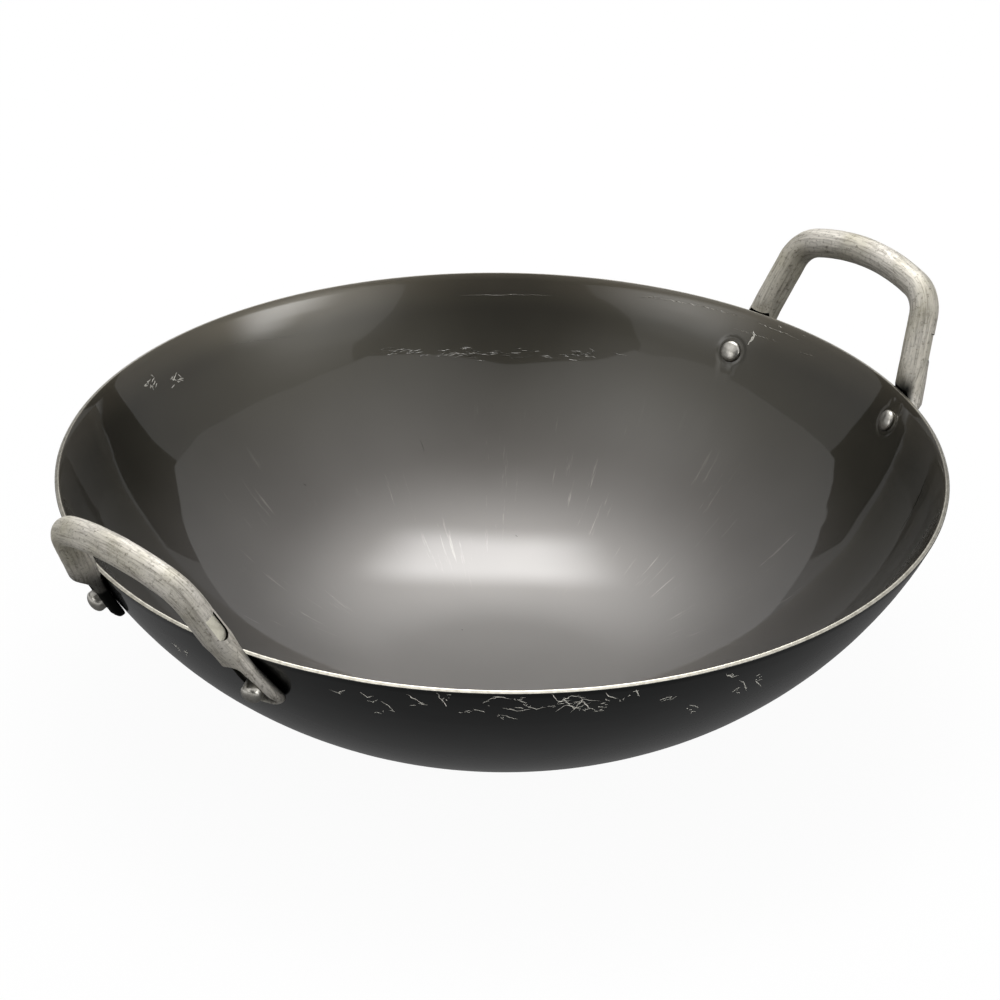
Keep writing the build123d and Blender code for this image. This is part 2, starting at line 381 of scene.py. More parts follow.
# black painted shade on the cut walls of the notch and the vent, also the dark of lacquer-filled marks, the
# clean cream cut of the vent, and scored steel with no shine
shadeAndFillSteel = plainSteel("scaled_steel_in_the_notch", "#15140f", 0.7, 0.5)
ventSteel = plainSteel("milled_steel", "#ece8d8", 0.55, 0.3)
scoredSteel = plainSteel("scored_steel", "#ece9de", 0.8, 0.45, 0.0)
print("materials made")


# Bowl: a sheet of rows and columns that a node tree bends into the pan's section and rings at the rivets.
# Steps, depths and sizes are in mm.
bowlMesh = {
    "plainStep": 4.5, "fineStep": 0.8,        # between rows, away from the rivets and near them
    "fineHalf": 8.0, "fineMargin": 2.0,       # the fine band each side of a rivet, and its rows' extra
    "fineShift": 0.8,                         # degrees that the fine rows sit below the rivets
    "plainColumns": 220, "fewestColumns": 4,  # all round, and at least between two rivets
    "fineColumns": 22,                        # in each rivet's band
    "flatRows": 8, "edgeRound": 0.25, "edgeRoundShare": 0.3, "edgeRows": (0.66, 0.33),
    "dishRadius": 45.0,  # where the floor's own curve starts to dish the inside of the base
    "waveDepth": 0.2, "waveSize": 34.0, "waveDetail": 1.5,  # the slow unevenness of the pressed sheet
    "rippleDepth": 0.06, "rippleSize": 11.0, "rippleSeedStep": 7.0,  # the lacquer's finer waves
    "growSlopes": (0.0, 0.25), "wallSlopes": (0.45, 0.8), "floorShare": 0.2,  # radians: where waves grow
    # the ring that the riveting tool pressed, which is dieFade times shallower a width from its middle
    "dieRadius": 5.9, "dieWidth": 0.55, "dieDepth": 0.28, "dieFade": 2.718,
    "mergeDistance": 0.005, "seed": 3,
    "wholeAbove": 0.9,  # where depth counts as the inside, and edge as the edge
}


def bowlRows():  # slope in degrees, share of the base flat, depth as a share of the sheet, and if it is edge
    b = bowlMesh
    slopes, slope = [], 0.0
    top, drop = pan["rimSlope"], math.degrees(b["edgeRound"] / pan["wallRadius"])
    band = math.degrees((b["fineHalf"] + b["fineMargin"]) / pan["wallRadius"])
    while slope < top - drop:
        slopes.append(slope)
        radius = pan["wallRadius"] if slope > pan["joinSlope"] else floorRadius
        near = abs(slope - rivetSlope + b["fineShift"]) < band
        slope += math.degrees((b["fineStep"] if near else b["plainStep"]) / radius)
    face = [(0.0, share) for share in np.linspace(0, 1, b["flatRows"], endpoint=False)]
    face += [(s, 1.0) for s in slopes]
    share, part = b["edgeRound"] / pan["sheet"], b["edgeRoundShare"]
    rim = [(top - drop, 1.0, 1.0, 0.0), (top - part * drop, 1.0, 1 - part * share, 0.0)]
    rim += [(top, 1.0, depth, 1.0) for depth in (1 - share, *b["edgeRows"], share)]
    rim += [(top - part * drop, 1.0, part * share, 0.0), (top - drop, 1.0, 0.0, 0.0)]
    return [(*row, 1.0, 0.0) for row in face] + rim + [(*row, 0.0, 0.0) for row in reversed(face)]


def bowlColumns():  # angles all round, close together at the rivets
    b = bowlMesh
    centres = sorted(math.atan2(p.y, p.x) % (2 * math.pi) for p, _ in seats)
    half = b["fineHalf"] / pan["rivetReach"]
    angles, previous = [], centres[-1] - 2 * math.pi + half
    total = 2 * math.pi - 2 * half * len(centres)
    for centre in centres:
        width = centre - half - previous
        count = max(b["fewestColumns"], round(b["plainColumns"] * width / total))
        angles += list(previous + width * np.arange(count) / count)
        angles += list(centre - half + 2 * half * np.arange(b["fineColumns"]) / b["fineColumns"])
        previous = centre + half
    return angles


def newTree(name, sockets):  # a geometry tree with named inputs, and the outputs that give their values
    tree = bpy.data.node_groups.new(name, "GeometryNodeTree")
    tree.interface.new_socket("Geometry", in_out="INPUT", socket_type="NodeSocketGeometry")
    for kind, names in sockets:
        for socket in names:
            tree.interface.new_socket(socket, in_out="INPUT", socket_type="NodeSocket" + kind)
    tree.interface.new_socket("Geometry", in_out="OUTPUT", socket_type="NodeSocketGeometry")
    return tree, addNode(tree, "NodeGroupInput").outputs


def named(tree, name, kind="FLOAT"):
    return addNode(tree, "GeometryNodeInputNamedAttribute", {"Name": name}, data_type=kind).outputs[0]


def smoothed(tree, geometry):
    inputs = {"Geometry": geometry, "Shade Smooth": True}
    return addNode(tree, "GeometryNodeSetShadeSmooth", inputs).outputs[0]


def bowlTree():
    b = bowlMesh
    tree, given = newTree("pressed_bowl", (
        ("Float", ("Base Radius", "Floor Radius", "Wall Radius", "Wall Centre Radius", "Wall Centre Height",
                   "Join Slope", "Sheet", "Dish Radius", "Dish Rise", "Dish Curve", "Wave Depth",
                   "Wave Size", "Ripple Depth", "Ripple Size", "Die Radius", "Die Width", "Die Depth")),
        ("Vector", ["Rivet %d" % (k + 1) for k in range(len(seats))]),
        ("Int", ("Seed",)),
        ("Material", ("Inside Material", "Outside Material", "Edge Material"))))

    def calc(operation, *values):
        return maths(tree, operation, *values)

    turn, slope, flatShare, depth, edge = (
        named(tree, name) for name in ("turn", "slope", "flatShare", "depth", "edge"))
    isWall = calc("GREATER_THAN", slope, given["Join Slope"])
    isInside = calc("GREATER_THAN", depth, b["wholeAbove"])
    isEdge = calc("GREATER_THAN", edge, b["wholeAbove"])

    def pick(low, high):  # the floor's value, or the wall's
        return calc("MULTIPLY_ADD", isWall, calc("SUBTRACT", high, low), low)

    # the section, with the inside of the base dished
    inset = calc("MULTIPLY", depth, given["Sheet"])
    arc = calc("SUBTRACT", pick(given["Floor Radius"], given["Wall Radius"]), inset)
    centreRadius = pick(calc("MULTIPLY", flatShare, given["Base Radius"]), given["Wall Centre Radius"])
    centreHeight = pick(given["Floor Radius"], given["Wall Centre Height"])
    reach = calc("MULTIPLY_ADD", arc, calc("SINE", slope), centreRadius)
    section = calc("SUBTRACT", centreHeight, calc("MULTIPLY", arc, calc("COSINE", slope)))
    dishSquare = calc("MULTIPLY", given["Dish Radius"], given["Dish Radius"])
    square = calc("SUBTRACT", dishSquare, calc("MULTIPLY", reach, reach))
    dishTop = calc("ADD", given["Sheet"], given["Dish Rise"])
    dish = calc("SUBTRACT", dishTop, calc("MULTIPLY", given["Dish Curve"], square))
    isDish = calc("MULTIPLY", calc("GREATER_THAN", square, 0.0), isInside)
    height = calc("MULTIPLY_ADD", isDish, calc("SUBTRACT", dish, section), section)

    def turned(across, up):  # a reach and a height, turned to the column's azimuth
        x, y = (calc("MULTIPLY", across, calc(part, turn)) for part in ("COSINE", "SINE"))
        return addNode(tree, "ShaderNodeCombineXYZ", {0: x, 1: y, 2: up}).outputs[0]

    place = turned(reach, height)
    outward = turned(calc("SINE", slope), calc("MULTIPLY", calc("COSINE", slope), -1.0))

    def waves(size, seedStep, strength):  # up to the strength each way
        field = addNode(tree, "ShaderNodeTexNoise", {
            "Vector": place, "W": calc("ADD", given["Seed"], seedStep), "Scale": calc("DIVIDE", 1.0, size),
            "Detail": b["waveDetail"]}, noise_dimensions="4D").outputs[0]
        return calc("MULTIPLY", calc("MULTIPLY", calc("SUBTRACT", field, 0.5), 2.0), strength)

    # the base flat stays flat, and the waves grow from its edge
    slow = waves(given["Wave Size"], 0.0, given["Wave Depth"])
    fine = waves(given["Ripple Size"], b["rippleSeedStep"], given["Ripple Depth"])
    grow = ramp(tree, slope, b["growSlopes"])
    onWall = ramp(tree, slope, b["wallSlopes"], (b["floorShare"], 1.0))
    both = calc("ADD", slow, calc("MULTIPLY", fine, onWall))
    uneven = calc("MULTIPLY", both, calc("MULTIPLY", grow, onWall))

    # a ring pressed round each rivet, on the inside
    joined = addNode(tree, "GeometryNodeJoinGeometry")
    for k in range(len(seats)):
        start = given["Rivet %d" % (k + 1)]
        point = addNode(tree, "GeometryNodeMeshLine", {"Count": 1, "Start Location": start})
        tree.links.new(point.outputs[0], joined.inputs[0])
    near = addNode(tree, "GeometryNodeProximity", {0: joined, "Sample Position": place},
                   target_element="POINTS").outputs["Distance"]
    away = calc("DIVIDE", calc("SUBTRACT", near, given["Die Radius"]), given["Die Width"])
    groove = calc("POWER", b["dieFade"], calc("MULTIPLY", calc("MULTIPLY", away, away), -1.0))
    ringCut = calc("MULTIPLY", calc("MULTIPLY", groove, given["Die Depth"]), isInside)

    moved = vectorMaths(tree, "SCALE", outward, calc("ADD", uneven, ringCut))
    final = vectorMaths(tree, "ADD", place, moved)
    shaped = addNode(tree, "GeometryNodeSetPosition", {"Geometry": given["Geometry"], "Position": final})
    closed = addNode(tree, "GeometryNodeMergeByDistance", {
        "Geometry": shaped, "Distance": b["mergeDistance"] * mm})
    made = addNode(tree, "GeometryNodeRealizeInstances", {"Geometry": smoothed(tree, closed)})
    for material, chosen in (("Outside", True), ("Inside", isInside), ("Edge", isEdge)):
        made = addNode(tree, "GeometryNodeSetMaterial", {
            "Geometry": made, "Selection": chosen, "Material": given[material + " Material"]})
    addNode(tree, "NodeGroupOutput", {0: made})
    return tree


def bakeTree(source, tree, values, name):  # runs a tree on an object and keeps the result as a plain mesh
    modifier = source.modifiers.new("shape", "NODES")
    modifier.node_group = tree
    identifiers = {item.name: item.identifier for item in tree.interface.items_tree
                   if item.item_type == "SOCKET" and item.in_out == "INPUT"}
    for socket, value in values.items():
        modifier[identifiers[socket]] = value
    bpy.context.view_layer.update()
    evaluated = source.evaluated_get(bpy.context.evaluated_depsgraph_get())
    mesh = bpy.data.meshes.new_from_object(evaluated)
    mesh.name = name
    source.modifiers.remove(modifier)
    bpy.data.objects.remove(source)
    return newObject(name, mesh)


# Scratches through the lacquer: the azimuth and height of points on each, in degrees and mm. Widths, lifts,
# depths and steps are in mm.
scratches = {
    "seed": 5, "lift": 0.1, "sunk": 0.06, "step": 1.0, "fewestSteps": 2, "probe": 1.5,
    "wander": (0.15, 0.225),  # degrees and mm
    "widths": {"outside": 0.6, "stray": 0.42, "inside": 0.3, "scuff": 0.48, "drip": 1.92, "filled": 0.72},
    "taper": (0.35, 0.3, 0.6),  # its start, its end and its power
    "unevenWidth": (0.6, 1.2),
    # short strokes beside each scratch, in degrees and mm, none of them higher than highest
    "strays": 4, "strayReach": (0.55, 1.2), "strayLength": (0.9, 1.4), "highest": 93.4,
    "scuffStrokes": 14,
    "outside": (
        ((-141.7, 91.4), (-140.7, 88.8), (-139.8, 86.7)), ((-137.7, 93.9), (-137.3, 90.3), (-136.6, 85.5)),
        ((-133.3, 85.1), (-131.8, 83.4)), ((-131.4, 91.2), (-130.0, 93.2), (-128.5, 91.9)),
        ((-129.7, 81.6), (-127.7, 78.8)), ((-129.5, 86.2), (-127.6, 84.2), (-126.1, 85.4)),
        ((-127.8, 91.3), (-126.6, 89.4)), ((-126.6, 87.4), (-125.2, 85.3), (-124.2, 86.5)),
        ((-123.6, 94.5), (-122.4, 89.2), (-121.0, 90.1)), ((-122.8, 82.9), (-121.5, 87.1), (-119.6, 83.8)),
        ((-122.2, 92.3), (-120.4, 84.1), (-118.5, 87.2)), ((-120.8, 81.6), (-119.5, 90.2), (-117.3, 88.0)),
        ((-120.2, 92.9), (-118.6, 84.7), (-117.0, 80.6)), ((-122.8, 88.1), (-120.9, 92.6), (-119.2, 90.7)),
        ((-116.8, 92.7), (-115.9, 89.7), (-115.0, 88.0)), ((-112.9, 92.3), (-112.0, 87.9)),
        ((-100.5, 91.0), (-99.1, 87.6), (-98.1, 87.6)), ((-97.4, 83.8), (-96.0, 79.5), (-94.9, 73.5)),
        ((-94.5, 80.1), (-93.3, 75.9), (-92.1, 72.4)), ((-152.0, 86.1), (-151.0, 85.2), (-149.8, 88.1)),
        ((-147.8, 88.6), (-147.1, 85.9), (-146.1, 87.3)), ((-145.3, 84.7), (-144.4, 82.1), (-143.7, 78.6)),
        ((-179.2, 77.6), (-178.6, 76.9), (-178.2, 75.1)), ((-108.9, 83.0), (-107.9, 84.1)),
        ((-103.8, 74.9), (-101.9, 70.8)),
    ),
    "inside": (
        ((57.6, 87.4), (50.7, 87.4), (42.4, 87.9)), ((31.3, 91.3), (22.6, 92.2), (15.6, 92.4)),
        ((13.9, 92.2), (6.1, 92.0)), ((17.4, 87.6), (13.1, 87.8), (8.9, 88.3)), ((5.4, 88.0), (2.6, 88.7)),
        ((91.9, 85.7), (85.9, 83.0), (79.9, 81.1)), ((31.3, 91.0), (28.5, 92.2)),
        ((13.7, 88.1), (13.7, 85.5), (14.0, 83.0)), ((10.1, 93.8), (9.4, 93.7)), ((6.0, 94.0), (5.3, 93.9)),
        ((68.5, 70.7), (66.0, 71.0)), ((34.2, 70.1), (31.4, 69.6)), ((64.7, 40.8), (64.4, 37.3)),
    ),
    "scuffs": ((106.6, 85.7), (102.3, 82.1)),  # white rubs on the left wall: the middle of each
    "drip": (((13.6, 88.9), (13.4, 86.4), (13.9, 83.5)),),  # a thick pale run of lacquer
    "filled": (  # dark with lacquer: a draw line by the rim and three pits
        ((-33.1, 86.5), (-35.6, 77.4), (-37.6, 67.8)),
        ((72.2, 2.0), (72.0, 2.0)), ((46.8, 15.3), (46.2, 14.9)), ((89.2, 35.9), (89.1, 35.2)),
    ),
    # the pale line where the lacquer ran and set, made of short strokes: it is lowest at its middle and rises
    # by bend at bendReach degrees from there, and reach is the wall's radius
    "ridge": {"from": 36.0, "to": 67.0, "height": 67.0, "spread": 0.85, "count": 80, "length": (2.0, 6.0),
              "middle": 50, "bend": 3.0, "bendReach": 20, "reach": 160, "tilt": 0.4, "kink": 0.3,
              "width": (0.3, 0.65)},
}


def faceAt(azimuth, height, inset):  # a point of the sheet's face, and the way out of the pan
    arc = pan["wallRadius"] - inset
    if height > wallCentre[1] - arc * cosOf(pan["joinSlope"]):
        centre = wallCentre
    else:
        arc, centre = floorRadius - inset, (pan["baseRadius"], floorRadius)
    slope = math.acos(min(1.0, (centre[1] - height) / arc))
    reach = centre[0] + arc * math.sin(slope)
    out = Vector((math.sin(slope) * cosOf(azimuth), math.sin(slope) * sinOf(azimuth), -math.cos(slope)))
    return Vector((reach * cosOf(azimuth), reach * sinOf(azimuth), height)), out


def scratchLine(points):  # the points with more between them, a step apart
    s, line = scratches, []
    for (a0, h0), (a1, h1) in zip(points, points[1:]):
        length = math.hypot(math.radians(a1 - a0) * pan["rivetReach"], h1 - h0)
        count = max(s["fewestSteps"], round(length / s["step"]))
        line += [(a0 + (a1 - a0) * k / count, h0 + (h1 - h0) * k / count) for k in range(count)]
    return line + [points[-1]]


def addScratch(shell, surface, points, inside, width, slot, chance):  # one closed sliver on the face
    s = scratches
    side, inset = (-1, pan["sheet"]) if inside else (1, 0.0)
    sections = []
    for azimuth, height in scratchLine(points):
        azimuth += chance.uniform(-1, 1) * s["wander"][0]
        height += chance.uniform(-1, 1) * s["wander"][1]
        place, out = faceAt(azimuth, height, inset)
        hit = surface.ray_cast((place + out * side * s["probe"]) * mm, -out * side)[0]
        sections.append((hit / mm if hit else place, out * side))
    rings = []
    start, end, power = s["taper"]
    for k, (place, up) in enumerate(sections):
        ahead = (sections[min(k + 1, len(sections) - 1)][0] - sections[max(k - 1, 0)][0]).normalized()
        across = ahead.cross(up).normalized()
        taper = math.sin(math.pi * (k + start) / (len(sections) - end)) ** power
        taper *= chance.uniform(*s["unevenWidth"])
        half = width / 2 * taper
        corners = ((-half, -s["sunk"]), (0.0, s["lift"] * taper), (half, -s["sunk"]))
        rings.append([shell.verts.new((place + across * x + up * z) * mm) for x, z in corners])
    faces = [shell.faces.new(rings[0]), shell.faces.new(list(reversed(rings[-1])))]
    faces += joinRings(shell, rings)
    for face in faces:
        face.material_index, face.smooth = slot, False
    return faces


def strayFrom(point, chance):  # a short stroke somewhere near a point of the face
    s = scratches
    azimuth = point[0] + chance.gauss(0, s["strayReach"][0])
    height = min(s["highest"], point[1] + chance.gauss(0, s["strayReach"][1]))
    turn, rise = (chance.uniform(-1, 1) * size for size in s["strayLength"])
    return (azimuth, height), (azimuth + turn, min(s["highest"], height + rise))


def addScratches(shell, bowl):
    s, widths = scratches, scratches["widths"]
    surface = BVHTree.FromBMesh(shell)
    bowl.data.materials.append(scoredSteel)
    bowl.data.materials.append(shadeAndFillSteel)
    slots = {m.name: k for k, m in enumerate(bowl.data.materials)}
    bare, lacquered, dark = (slots[m.name] for m in (scoredSteel, insideSteel, shadeAndFillSteel))
    chance = random.Random(s["seed"])
    made = []

    def add(points, inside, width, slot):
        made.extend(addScratch(shell, surface, points, inside, width, slot, chance))

    for points in s["outside"]:
        add(points, False, widths["outside"], bare)
        for _ in range(s["strays"]):  # each near a point of the one before
            points = strayFrom(points[chance.randrange(len(points))], chance)
            add(points, False, widths["stray"], bare)
    for points in s["inside"]:
        add(points, True, widths["inside"], lacquered)
    for middle in s["scuffs"]:
        for _ in range(s["scuffStrokes"]):
            add(strayFrom(middle, chance), True, widths["scuff"], bare)
    for points in s["drip"]:
        add(points, True, widths["drip"], bare)
    for points in s["filled"]:
        add(points, True, widths["filled"], dark)
    r = s["ridge"]
    for _ in range(r["count"]):
        azimuth = chance.uniform(r["from"], r["to"])
        sag = r["bend"] * ((azimuth - r["middle"]) / r["bendReach"]) ** 2
        height = r["height"] + chance.gauss(0, r["spread"]) + sag
        half = math.degrees(chance.uniform(*r["length"]) / 2 / r["reach"])
        tilt = chance.uniform(-r["tilt"], r["tilt"])
        kink = chance.uniform(-r["kink"], r["kink"])
        points = ((azimuth - half, height - tilt), (azimuth, height + kink), (azimuth + half, height + tilt))
        add(points, True, chance.uniform(*r["width"]), lacquered)
    bmesh.ops.recalc_face_normals(shell, faces=made)


def bowlSheet():  # the rows and columns as a flat grid, with each point's place in the pan as attributes
    rows, columns = bowlRows(), bowlColumns()
    mesh = bpy.data.meshes.new("bowl_sheet")
    count = len(columns)
    corners = [(c, r, 0) for r in range(len(rows)) for c in range(count)]
    faces = [
        (r * count + c, r * count + (c + 1) % count, (r + 1) * count + (c + 1) % count, (r + 1) * count + c)
        for r in range(len(rows) - 1) for c in range(count)
    ]
    mesh.from_pydata(corners, [], faces)
    slopes, flatShares, depths, edges = zip(*rows)
    addAttribute(mesh, "turn", np.tile(columns, len(rows)))
    for name, values in (("slope", np.radians(slopes)), ("flatShare", flatShares), ("depth", depths),
                         ("edge", edges)):
        addAttribute(mesh, name, np.repeat(values, count))
    return newObject("bowl_sheet", mesh)


def bowlValues():  # what the bowl's tree is given
    b = bowlMesh
    innerRadius = floorRadius - pan["sheet"]
    dishSlope = math.asin((b["dishRadius"] - pan["baseRadius"]) / innerRadius)
    lengths = {
        "Base Radius": pan["baseRadius"], "Floor Radius": floorRadius, "Wall Radius": pan["wallRadius"],
        "Wall Centre Radius": wallCentre[0], "Wall Centre Height": wallCentre[1], "Sheet": pan["sheet"],
        "Dish Radius": b["dishRadius"], "Dish Rise": innerRadius * (1 - math.cos(dishSlope)),
        "Wave Depth": b["waveDepth"], "Wave Size": b["waveSize"],
        "Ripple Depth": b["rippleDepth"], "Ripple Size": b["rippleSize"],
        "Die Radius": b["dieRadius"], "Die Width": b["dieWidth"], "Die Depth": b["dieDepth"],
    }
    values = {name: length * mm for name, length in lengths.items()}
    values.update({
        "Dish Curve": math.tan(dishSlope) / (2 * b["dishRadius"] * mm),
        "Join Slope": math.radians(pan["joinSlope"]), "Seed": b["seed"],
        "Inside Material": insideSteel, "Outside Material": outsideSteel, "Edge Material": edgeSteel})
    for k, (point, normal) in enumerate(seats):
        values["Rivet %d" % (k + 1)] = (point - normal * pan["sheet"]) * mm
    return values


def makeBowl():
    bowl = bakeTree(bowlSheet(), bowlTree(), bowlValues(), "bowl_shell")
    shell = bmesh.new()
    shell.from_mesh(bowl.data)
    bmesh.ops.recalc_face_normals(shell, faces=shell.faces)
    addScratches(shell, bowl)
    shell.to_mesh(bowl.data)
    shell.free()
    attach(bowl, "root")
    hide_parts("bowl")
    return bowl


bowl = makeBowl()
print("bowl made:", len(bowl.data.polygons), "faces")


# Handles: rings along each loop, from the round tube to the ends that a press has dished and laid on the
# wall. Heights are up a leg from its rivet, and lengths are in mm.
handleMesh = {
    "sides": 112, "endStep": 0.4, "barStep": 1.2, "fineBelow": 30.0, "bendSteps": 24, "crownRadius": 102.39,
    "leanHeights": (26.0, 16.0),  # over these the rings turn from the loop's plane to the wall
    "padBelow": 13.2,             # the crushed end runs a little lower than the CAD's
    "padHeights": (13.0, -4.6), "padGap": 0.05, "wallGap": 0.03,
    # height up the leg, and how far the lips stand off the wall
    "lipHeights": ((-13.2, 5.2), (-5.0, 8.0), (4.0, 8.7), (14.0, 9.0)),
    "tubeTop": 12.2,
    "squareness": 0.12, "innerBulge": 0.3,  # pressed rings are squarer, most on the loop's inner side
    "noseMiddle": 0.2, "nosePower": 0.35,   # how the end closes
    "troughFloor": 3.0, "troughHalf": (4.1, 5.0), "troughHeights": (12.0, 2.0), "troughTop": 15.6,
    "troughFoot": -12.0, "troughWall": 1.1, "openHeights": (-9.0, -4.0), "openShare": 0.75,
    "dentDepth": 0.09, "dentSize": 5.0, "dentOctaves": 2, "smoothUnder": 40.0,  # degrees
    "slotHeight": 0.7, "slotDrop": 1.3, "slotReach": 1.4, "slotSides": 240,  # the notch over the rim
    "ventDepth": 1.25, "ventTilt": 12.0, "ventWidth": 6.2, "ventLength": 12.0, "ventRise": 4.0,
    "ventSteps": 15,
}
# For each leg, the left handle's back and the right handle's front one first: the heights over which its
# outer face falls to the lips, how dark its painted shade is, what share of their height its lips keep, if
# its inner lip is crushed away, and its vent's height and turn round the tube
legs = {
    "left": ({"ramp": (24.0, 13.0), "soot": 0.75, "press": 0.7, "crushed": 0},
             {"ramp": (38.0, 14.0), "soot": 0.0, "press": 1.0, "crushed": 1, "vent": (32.7, -13.0)}),
    "right": ({"ramp": (13.5, 5.0), "soot": 0.0, "press": 1.0, "crushed": 0, "vent": (32.7, 35.0)},
              {"ramp": (13.5, 5.0), "soot": 0.1, "press": 1.0, "crushed": 0}),
}
# painted shade, where the tube is black: close to the wall, in the dish, and down a leg that the pan shades
tubePaintedShade = {
    "gaps": (4.5, 1.0), "gapHeights": (22.0, 14.0), "dish": 0.9, "dishOut": -0.9, "dishAcross": -0.75,
    "legHeights": (30.0, 16.0), "footHeights": (14.0, 8.0), "foot": 1.4,
}


def wallUnder(p):  # how far a point is from the pan's outer face, and the way out of the pan there
    reach = math.hypot(p.x, p.y)
    lean = Vector((reach - wallCentre[0], p.z - wallCentre[1]))
    out = lean.normalized()
    return lean.length - pan["wallRadius"], Vector((out.x * p.x / reach, out.x * p.y / reach, out.y))


def loopPath(side):  # the loop's line in its own plane, from one end to the other, as closely spaced points
    h = handleMesh
    half, shoulder = loop["rivetSpan"] / 2, loop["cornerSpan"] / 2
    low = [-h["padBelow"] + rise for rise in side["rises"]]
    flat = [Vector(c) for c in (
        (-(half - legSpread * low[0]), low[0]), (-shoulder, loop["cornerHeight"]),
        (0.0, loop["cornerHeight"] + loop["crownHeight"]),
        (shoulder, loop["cornerHeight"]), (half - legSpread * low[1], low[1]))]
    points = [flat[0]]
    for k, radius in ((1, loop["cornerRadius"]), (2, h["crownRadius"]), (3, loop["cornerRadius"])):
        before, after = (flat[k - 1] - flat[k]).normalized(), (flat[k + 1] - flat[k]).normalized()
        bend = math.pi - before.angle(after)
        run = radius * math.tan(bend / 2)
        centre = flat[k] + (before + after).normalized() * (radius / math.cos(bend / 2))
        start, end = flat[k] + before * run - centre, flat[k] + after * run - centre
        shares = [i / h["bendSteps"] for i in range(h["bendSteps"] + 1)]
        points += [centre + start.lerp(end, share).normalized() * radius for share in shares]
    points.append(flat[-1])
    dense = [points[0]]
    for a, b in zip(points, points[1:]):
        gone, length = 0.0, (b - a).length
        while True:
            here = a.lerp(b, gone / length)
            gone += h["endStep"] if here.y < h["fineBelow"] else h["barStep"]
            if gone >= length:
                break
            dense.append(a.lerp(b, gone / length))
        dense.append(b)
    return dense


def ringFrames(side):  # for every ring: centre, way along, way across and way out, leg and height
    dense = loopPath(side)
    zAxis = loopPlane(side)[3]
    space = [onLoop(side, p.x, p.y) for p in dense]
    frames = []
    for i, (flat, p) in enumerate(zip(dense, space)):
        along = (space[min(i + 1, len(space) - 1)] - space[max(i - 1, 0)]).normalized()
        leg = 1 if flat.x > 0 else 0
        height = flat.y - side["rises"][leg]
        share = smoothStep(*handleMesh["leanHeights"], height)
        gap, normal = wallUnder(p)
        out = zAxis.lerp(normal, share)
        out = (out - along * out.dot(along)).normalized()
        frames.append({"at": p, "along": along, "out": out, "across": along.cross(out), "leg": leg,
                       "height": height, "share": share, "gap": gap})
    return frames


def lipTop(height, ramp, press):  # the outer face's distance from the wall, from the lips to the round tube
    h = handleMesh
    heights, tops = zip(*h["lipHeights"])
    low = float(np.interp(height, heights, tops)) * press
    return low + (h["tubeTop"] - low) * smoothStep(ramp[1], ramp[0], height)


def troughDepth(across, height, crushed):  # 0 outside the dish, 1 on its floor
    h = handleMesh
    narrow, wide = h["troughHalf"]
    half = narrow + (wide - narrow) * smoothStep(*h["troughHeights"], height)
    beyond = max(height - (h["troughTop"] - half), h["troughFoot"] + half - height, 0.0)
    if across > 0:  # the lip on the loop's inner side is crushed away, except at the foot
        across *= 1 - h["openShare"] * crushed * smoothStep(*h["openHeights"], height)
    return smoothStep(0.0, h["troughWall"], half - math.hypot(across, beyond))


def ringSize(f, detail):  # a ring's half width, and its top and low from the wall
    h, radius = handleMesh, loop["tubeRadius"]
    top = f["gap"] + radius
    if f["height"] < detail["ramp"][0]:
        top = min(top, lipTop(f["height"], detail["ramp"], detail["press"]))
    low = (f["gap"] - radius) * (1 - f["share"]) + h["padGap"] * f["share"]
    half = radius + (loop["padEndRadius"] - radius) * smoothStep(*h["padHeights"], f["height"])
    nose = (f["height"] + h["padBelow"] - loop["padEndRadius"]) / loop["padEndRadius"]
    if nose < 0:
        shrink = math.sqrt(max(0.0, 1 - nose * nose))
        closing = shrink ** h["nosePower"]
        middle = low + (top - low) * h["noseMiddle"]
        half, top, low = half * shrink, middle + (top - middle) * closing, middle + (low - middle) * closing
    return half, top, low


def ringPoint(f, detail, size, angle):  # a point of a ring, kept clear of the wall
    h = handleMesh
    half, top, low = size
    c, s = math.cos(angle), math.sin(angle)
    full = 1 - h["squareness"] * f["share"]
    across = half * math.copysign(abs(c) ** full, c)
    # flat on the wall at the loop's inner side
    bulge = full if s > 0 or c < 0 else full + (h["innerBulge"] - full) * f["share"]
    out = (top + low) / 2 + (top - low) / 2 * math.copysign(abs(s) ** bulge, s)
    if s > 0 and f["height"] < h["troughTop"]:
        out -= max(0.0, out - h["troughFloor"]) * troughDepth(across, f["height"], detail["crushed"])
    point = f["at"] + f["across"] * across + f["out"] * (out - f["gap"])
    gap, normal = wallUnder(point)
    if gap < h["wallGap"] and point.z < panDepth:
        point += normal * (h["wallGap"] - gap)
    return point


def tubeMesh(name, frames):  # the rings joined, and closed at both ends
    count = handleMesh["sides"]
    shape = bmesh.new()
    rings, centres = [], []
    for f in frames:
        detail = legs[name][f["leg"]]
        size = ringSize(f, detail)
        points = [ringPoint(f, detail, size, 2 * math.pi * k / count) for k in range(count)]
        rings.append([shape.verts.new(p * mm) for p in points])
        centres.append(f["at"] + f["out"] * ((size[1] + size[2]) / 2 - f["gap"]))
    joinRings(shape, rings)
    for ring, centre in ((rings[0], centres[0]), (rings[-1], centres[-1])):
        tip = shape.verts.new(centre * mm)
        for k in range(count):
            shape.faces.new((tip, ring[k], ring[(k + 1) % count]))
    return meshFrom(shape, "handle_%s_tube" % name)


def prism(name, outline, low, high, place, material, sides=None):  # a flat outline, raised and put in place
    shape = bmesh.new()
    floor, lid = ([shape.verts.new(place @ Vector((x, y, z))) for x, y in outline] for z in (low, high))
    shape.faces.new(floor)
    shape.faces.new(lid)
    joinRings(shape, (floor, lid))
    mesh = meshFrom(shape, name)
    mesh.materials.append(material)
    if sides:
        mesh.materials.append(sides)
        for face in mesh.polygons[2:]:
            face.material_index = 1
    return newObject(name, mesh)


